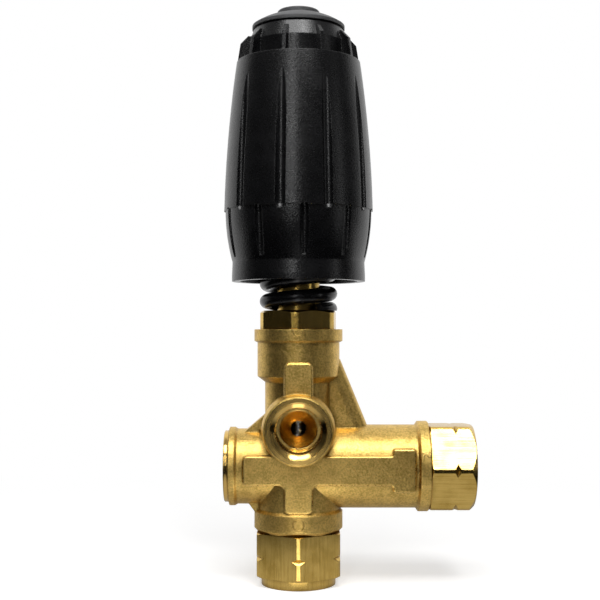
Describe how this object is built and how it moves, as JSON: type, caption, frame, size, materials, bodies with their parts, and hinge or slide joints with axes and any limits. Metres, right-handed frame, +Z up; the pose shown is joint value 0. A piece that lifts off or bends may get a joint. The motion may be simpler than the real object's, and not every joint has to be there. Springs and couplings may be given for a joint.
{
  "type": "pressure washer unloader valve",
  "caption": "Unloader valve for a pressure washer: forged brass body with inlet, outlet and bypass ports, check valve, and a knob that sets the spring on its piston rod.",
  "frame": {"origin": "centre of the inlet fitting's mouth, on the spring's axis", "axes": "+Z up along the piston rod and spring, +X along the outlet, -Y out of the bypass port"},
  "size_m": [0.0814, 0.0488, 0.1882],
  "materials": {
    "forged_brass": "shot-blasted forging, slightly dull",
    "bar_brass": "turned and drawn bar, bright",
    "inner_brass": "turned",
    "stainless": "turned and polished",
    "zinc_steel": "zinc plated",
    "black_spring": "black lacquer on spring wire",
    "black_moulding": "satin moulding with a fine texture",
    "grey_moulding": "satin moulding",
    "rubber": "nitrile seals",
    "ptfe": "white filled fluoropolymer"
  },
  "bodies": {
    "valve": {"valve_body": "forged_brass", "inlet_fitting": "bar_brass", "outlet_fitting": "bar_brass", "piston_guide": "bar_brass", "guide_o_ring": "rubber", "rod_seal": "rubber", "rod_backup_ring": "ptfe", "rod_wiper": "rubber", "valve_seat": "stainless", "seat_o_ring": "rubber", "inlet_o_ring": "rubber", "outlet_o_ring": "rubber", "main_spring": "black_spring", "ball_spring": "stainless", "check_spring": "stainless"},
    "rod": {"piston_rod": "stainless", "piston_o_ring": "rubber", "piston_backup_ring": "ptfe", "stop_nut": "zinc_steel"},
    "carriage": {"spring_plate": "zinc_steel", "thrust_washer": "stainless"},
    "knob_set": {"knob": "black_moulding", "knob_insert": "inner_brass", "knob_cap": "grey_moulding"},
    "ball": {"shutter_ball": "stainless"},
    "poppet": {"check_poppet": "inner_brass", "check_o_ring": "rubber"}
  },
  "joints": [
    {"name": "rod_stroke", "type": "slide", "parent": "valve", "child": "rod", "axis": [0, 0, 1], "range_m": [-0.0025, 0], "stiffness_N_per_m": 12000, "springref_m": 0.002, "deforming": ["main_spring"]},
    {"name": "knob_turn", "type": "hinge", "parent": "carriage", "child": "knob_set", "pos_m": [0, 0, 0], "axis": [0, 0, 1], "range_deg": [-2160, 0]},
    {"name": "knob_travel", "type": "slide", "parent": "rod", "child": "carriage", "axis": [0, 0, 1], "range_m": [-0.0075, 0]},
    {"name": "ball_drop", "type": "slide", "parent": "valve", "child": "ball", "axis": [0, 0, 1], "range_m": [-0.0025, 0], "deforming": ["ball_spring"]},
    {"name": "check_lift", "type": "slide", "parent": "valve", "child": "poppet", "axis": [1, 0, 0], "range_m": [0, 0.003], "stiffness_N_per_m": 150, "springref_m": -0.003, "deforming": ["check_spring"]}
  ],
  "couplings": [
    {"joint": "knob_travel", "follows": "knob_turn", "m_per_rad": 0.0001989},
    {"joint": "ball_drop", "follows": "rod_stroke", "ratio": 1}
  ]
}
